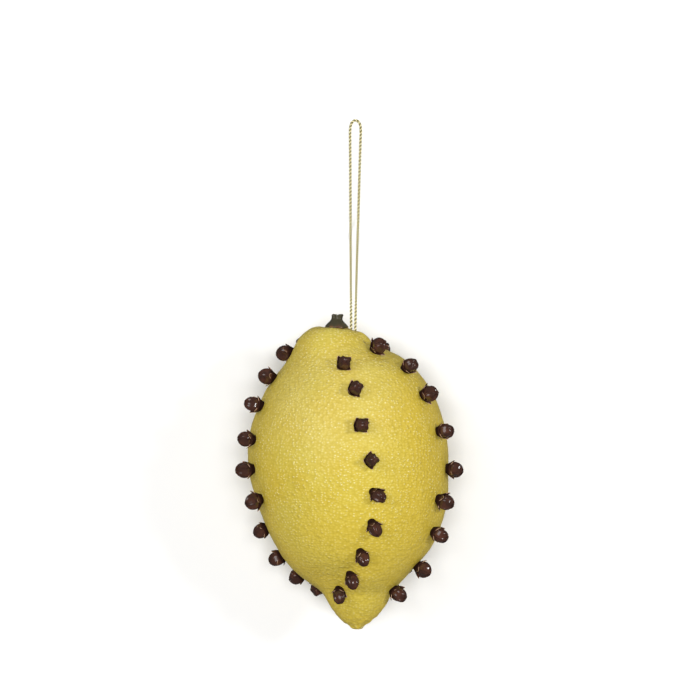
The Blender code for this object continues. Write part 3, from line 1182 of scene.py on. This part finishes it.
@dataclass
class Cloves:
    """Every clove of the five rows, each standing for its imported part."""

    finish: CloveFinish = CloveFinish()
    seed: int = 12
    front_width: float = 1.06
    # Which way the first cloves of the front row lean, and how far, in degrees.
    leans: tuple[tuple[int, int], ...] = ((35, 20), (45, 18), (5, 20), (50, 22))
    lean_height: float = 3.0 * MM  # of the point that they lean about, above the peel

    def lean(self, seat: CloveSeat) -> Matrix:
        """Leans a clove of the front row aside about its middle.

        Args:
            seat: Where the clove stands.

        Returns:
            The turn, which is none for the other cloves.
        """
        row, place = seat.node.rsplit("_", 1)
        turn = Matrix.Identity(4)
        if row == "clove_front" and int(place) <= len(self.leans):
            heading, angle = (math.radians(value) for value in self.leans[int(place) - 1])
            across = Vector((-math.sin(heading), math.cos(heading), 0))
            middle = Matrix.Translation(seat.frame @ Vector((0, 0, self.lean_height)))
            turn = middle @ Matrix.Rotation(angle, 4, across) @ middle.inverted()
        return turn

    def dull_sides(self, piece: Piece) -> None:
        """Takes the gloss off the sides of a clove on the front, leaving it on top.

        Args:
            piece: The clove, in its place.
        """
        values = piece.data.attributes["matt"].data
        for point, matt in zip(piece.data.vertices, values):
            matt.value = max(matt.value, 0.3 * smooth_step(0.75, 0.40, point.normal.z))

    def build(self, seats: list[CloveSeat]) -> None:
        """Copies the modelled cloves to their seats.

        Args:
            seats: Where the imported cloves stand.
        """
        draw = random.Random(self.seed)
        material = self.finish.build()
        models = [CloveModel(style, number).build() for number, style in enumerate(BudStyle)]
        for seat in seats:
            model = draw.choice(models)
            quarter = Matrix.Rotation(draw.randrange(4) * math.pi / 2, 4, "Z")
            wide = self.front_width if seat.node.startswith("clove_front") else 1.0
            name = seat.node.replace("clove_", "bud_")
            size = Matrix.Diagonal((wide, wide, 1, 1))
            piece = copied(model, name, self.lean(seat) @ seat.frame @ quarter @ size)
            if wide > 1:
                self.dull_sides(piece)
            settle(piece, material, seat.node)
        for model in models:
            bpy.data.objects.remove(model)


# ---------------------------------------------------------------- the stem cap


@dataclass
class StemCap:
    """The brown stem cap on the lemon's neck: a flared skirt under a ribbed stub."""

    name: str = "stem_stub"
    sides: int = 60
    lean: float = 0.17  # of the stub, for each unit of height above its foot
    stub_foot: float = 2.0
    finish: StemFinish = StemFinish()
    profile: Rings = (
        (-0.45, 3.30), (0.00, 3.50), (0.12, 3.66), (0.38, 3.62), (0.85, 3.30), (1.35, 2.90),
        (1.75, 2.48), (2.10, 2.12), (2.45, 1.80), (2.75, 1.64), (3.10, 1.58), (3.50, 1.64),
        (3.85, 1.72), (4.05, 1.66), (4.15, 1.45), (4.10, 1.10), (3.95, 0.80), (3.85, 0.40),
    )

    def build(self, node: Piece) -> Vector:
        """Draws the cap up from a circle and ribs it.

        Args:
            node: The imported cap.

        Returns:
            The middle of its base.
        """
        low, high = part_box(node.name)
        foot = Vector(((low.x + high.x) / 2, low.y, (low.z + high.z) / 2))
        cap = draw_up(self.name, self.profile, self.sides, "TRIFAN", self.lean, self.stub_foot)
        with editing(cap):
            bpy.ops.mesh.remove_doubles(threshold=1e-7)
            bpy.ops.mesh.normals_make_consistent(inside=False)

        def ribs(place: Vector, _normal: Vector) -> float:
            """The lift of the stub's ribs, the skirt's waves and slow lumps.

            Args:
                place: A point's place.

            Returns:
                The lift, in metres.
            """
            angle = math.atan2(place.y, place.x)
            stub = smooth_step(2.3 * MM, 3.0 * MM, place.z)
            skirt = smooth_step(1.2 * MM, 0.2 * MM, place.z)
            rib = math.cos(8 * angle + 0.6 * math.sin(3 * angle))
            wave = math.sin(5 * angle + 1.1) + 0.6 * math.sin(11 * angle)
            lump = noise.noise(place * (0.9 / MM))
            return (0.15 * rib * stub + 0.07 * wave * skirt + 0.10 * lump) * MM

        raise_points(cap, ribs, 0.4 * MM)
        cap.matrix_world = Matrix.Translation(foot) @ Matrix.Rotation(-math.pi / 2, 4, "X")
        take(cap)
        bpy.ops.object.shade_smooth_by_angle(angle=math.radians(50))
        settle(cap, self.finish.build(foot), node.name)
        return foot


# ---------------------------------------------------------------- the lemon


@dataclass
class Lemon:
    """The moulded lemon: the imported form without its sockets, under pebbled peel."""

    node: Piece
    seats: list[CloveSeat]
    cap_foot: Vector
    cord_foot: Vector
    name: str = "lemon_peel"
    finish: PeelFinish = PeelFinish()
    rounds: int = 3  # of drawing the skin onto the former, each divided once more
    pebble_pitch: float = 1.3 * MM
    pebble_height: float = 0.10 * MM
    # The hollow round a packed clove.
    socket: Rings = ((-1.20, 1.60), (0.00, 1.80), (2.30, 2.95), (4.40, 2.95))
    socket_reach: float = 5.0 * MM
    cord_hole: Place = (1.43 * MM, 0.75 * MM, 3.2 * MM)  # half width, half height, depth
    # Low humps on the neck: middle, lift and reach, in mm. The stem cap's edge, the cord's
    # side and the left shoulder.
    humps: tuple[tuple[Place, float, float], ...] = (
        ((-1.5, 40.9, 33.0), 0.45, 2.8),
        ((5.4, 38.6, 33.0), 0.70, 4.6),
        ((-10.6, 41.2, 31.5), 0.15, 3.6),
    )
    tip_axis: tuple[float, float] = (2.3 * MM, 31.1 * MM)

    def in_socket(self, place: Vector) -> bool:
        """Whether a place is inside, or on the wall of, the hollow round a clove.

        Args:
            place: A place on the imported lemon.

        Returns:
            True in any clove's hollow.
        """
        for seat in self.seats:
            if (place - seat.root).length > self.socket_reach:
                continue
            local = seat.frame.inverted() @ place / MM
            out = math.hypot(local.x, local.y)
            for (low, near), (high, far) in zip(self.socket, self.socket[1:]):
                if low - 0.05 <= local.z <= high + 0.02:
                    share = (local.z - low) / (high - low)
                    if out < near + (far - near) * share + 0.04:
                        return True
        return False

    def build(self) -> None:
        """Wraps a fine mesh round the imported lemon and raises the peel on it."""
        former = self.former()
        lemon = self.wrap(former)
        bpy.data.objects.remove(former)
        self.ease_sockets(lemon)
        self.raise_peel(lemon)
        take(lemon)
        bpy.ops.object.shade_smooth()
        tip = Vector((self.tip_axis[0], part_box(self.node.name)[0].y, self.tip_axis[1]))
        material = self.finish.build(self.cap_foot, self.cord_foot, tip)
        settle(lemon, material, self.node.name)

    def former(self) -> Piece:
        """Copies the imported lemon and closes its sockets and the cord's hole over.

        Returns:
            The closed copy.
        """
        former = copied(self.node, "former", Matrix.Identity(4))
        with editing(former):
            bpy.ops.mesh.remove_doubles(threshold=1e-6)

        def hollow(face: bpy.types.MeshPolygon) -> bool:
            """Whether a face is part of a socket or of the cord's hole.

            Args:
                face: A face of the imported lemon.

            Returns:
                True for a face to take away.
            """
            aside = face.center - self.cord_foot
            beside_cord = abs(aside.x) < self.cord_hole[0] and abs(aside.z) < self.cord_hole[1]
            in_cord_hole = beside_cord and aside.y > -self.cord_hole[2]
            return in_cord_hole or self.in_socket(face.center)

        with editing(former, "FACE", everything=False):
            pick(former, "polygons", hollow)
            bpy.ops.mesh.delete(type="FACE")
            bpy.ops.mesh.select_all(action="SELECT")
            bpy.ops.mesh.fill_holes(sides=0)
            bpy.ops.mesh.select_all(action="SELECT")
            bpy.ops.mesh.quads_convert_to_tris()
        return former

    def wrap(self, former: Piece) -> Piece:
        """An evenly divided skin drawn onto the former.

        Args:
            former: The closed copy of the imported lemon.

        Returns:
            The skin.
        """
        places = [point.co for point in former.data.vertices]
        low = Vector(min(place[i] for place in places) for i in range(3))
        high = Vector(max(place[i] for place in places) for i in range(3))
        deselect_all()
        bpy.ops.mesh.primitive_cube_add(size=1, location=(low + high) / 2)
        skin = bpy.context.object
        skin.name = skin.data.name = self.name
        skin.scale = (high - low) * 1.25
        bpy.ops.object.transform_apply(location=True, rotation=True, scale=True)
        subdivide_smoothly(skin, 3)
        for _ in range(self.rounds):
            add_modifier(skin, "SHRINKWRAP", target=former)
            with editing(skin):
                bpy.ops.mesh.vertices_smooth(factor=0.5, repeat=6)
            add_modifier(skin, "SHRINKWRAP", target=former)
            subdivide_smoothly(skin, 1)
        add_modifier(skin, "SMOOTH", factor=0.5, iterations=4)
        subdivide_smoothly(skin, 1)
        return skin

    def ease_sockets(self, lemon: Piece) -> None:
        """Smooths the skin where the sockets were closed over.

        Args:
            lemon: The smooth skin.
        """
        tree = search_tree([seat.root for seat in self.seats])
        group = lemon.vertex_groups.new(name="sockets")
        for point in lemon.data.vertices:
            near = smooth_step(7.0 * MM, 4.0 * MM, tree.find(point.co)[2])
            if near > 0:
                group.add([point.index], near, "REPLACE")
        add_modifier(lemon, "SMOOTH", factor=0.5, iterations=35, vertex_group="sockets")
        lemon.vertex_groups.remove(lemon.vertex_groups["sockets"])

    def raise_peel(self, lemon: Piece) -> None:
        """Raises the peel's slow lumps, ripples and pebbles, and the tip's knobs.

        Args:
            lemon: The smooth skin.
        """
        tip = min(point.co.y for point in lemon.data.vertices)
        humps = [(Vector(place), lift, reach) for place, lift, reach in self.humps]

        def nib(place: Vector) -> float:
            """The lift of the small knobbed nib at the tip.

            Args:
                place: A point's place.

            Returns:
                The lift, in mm.
            """
            if place.y > tip + 3 * MM:
                return 0.0
            aside, up = place.x - self.tip_axis[0], place.z - self.tip_axis[1]
            out, angle = math.hypot(aside, up), math.atan2(up, aside)
            ring = smooth_step(1.1 * MM, 0.2 * MM, abs(out - 2.0 * MM))
            knob = 0.22 * ring * math.cos(5 * angle + 0.8 * math.sin(2 * angle))
            return 0.85 * smooth_step(3.1 * MM, 1.2 * MM, out) + knob

        def relief(place: Vector, _normal: Vector) -> float:
            """The lift of everything that is raised on the peel.

            Args:
                place: A point's place.

            Returns:
                The lift, in metres.
            """
            end = smooth_step(tip + 7 * MM, tip + 1 * MM, place.y)
            stretched = Vector((place.x * 0.45, place.y * 1.2, place.z * 0.45))
            lumps = 0.22 * noise.noise(place / (8 * MM))
            ripples = 0.07 * noise.noise(stretched / (1.6 * MM))
            knobs = 0.42 * noise.noise(place / (1.9 * MM)) * end
            cell = noise.voronoi(place / self.pebble_pitch)[0][0]
            pebbles = self.pebble_height / MM * (0.5 - cell)
            swell = max(
                lift * smooth_step(reach * MM, 0.3 * reach * MM, (place / MM - at).length * MM)
                for at, lift, reach in humps
            )
            return (lumps + ripples + knobs + pebbles + swell + nib(place)) * MM

        raise_points(lemon, relief, 1.0 * MM)


# ---------------------------------------------------------------- the whole


def main() -> None:
    """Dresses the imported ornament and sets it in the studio."""
    logging.basicConfig(level=logging.INFO, format="%(name)s: %(message)s")
    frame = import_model()
    nodes = frame["nodes"]

    studio = Studio()
    studio.place_camera()
    cord = HangingCord()
    cord.build()
    cap_foot = StemCap().build(nodes["stem_cap"])
    seats = [
        CloveSeat.read(node) for name, node in sorted(nodes.items()) if name.startswith("clove_")
    ]
    Cloves().build(seats)
    Lemon(nodes["lemon"], seats, cap_foot, cord.foot()).build()
    studio.lay_floor()
    studio.light_up()


if __name__ == "__main__":
    main()
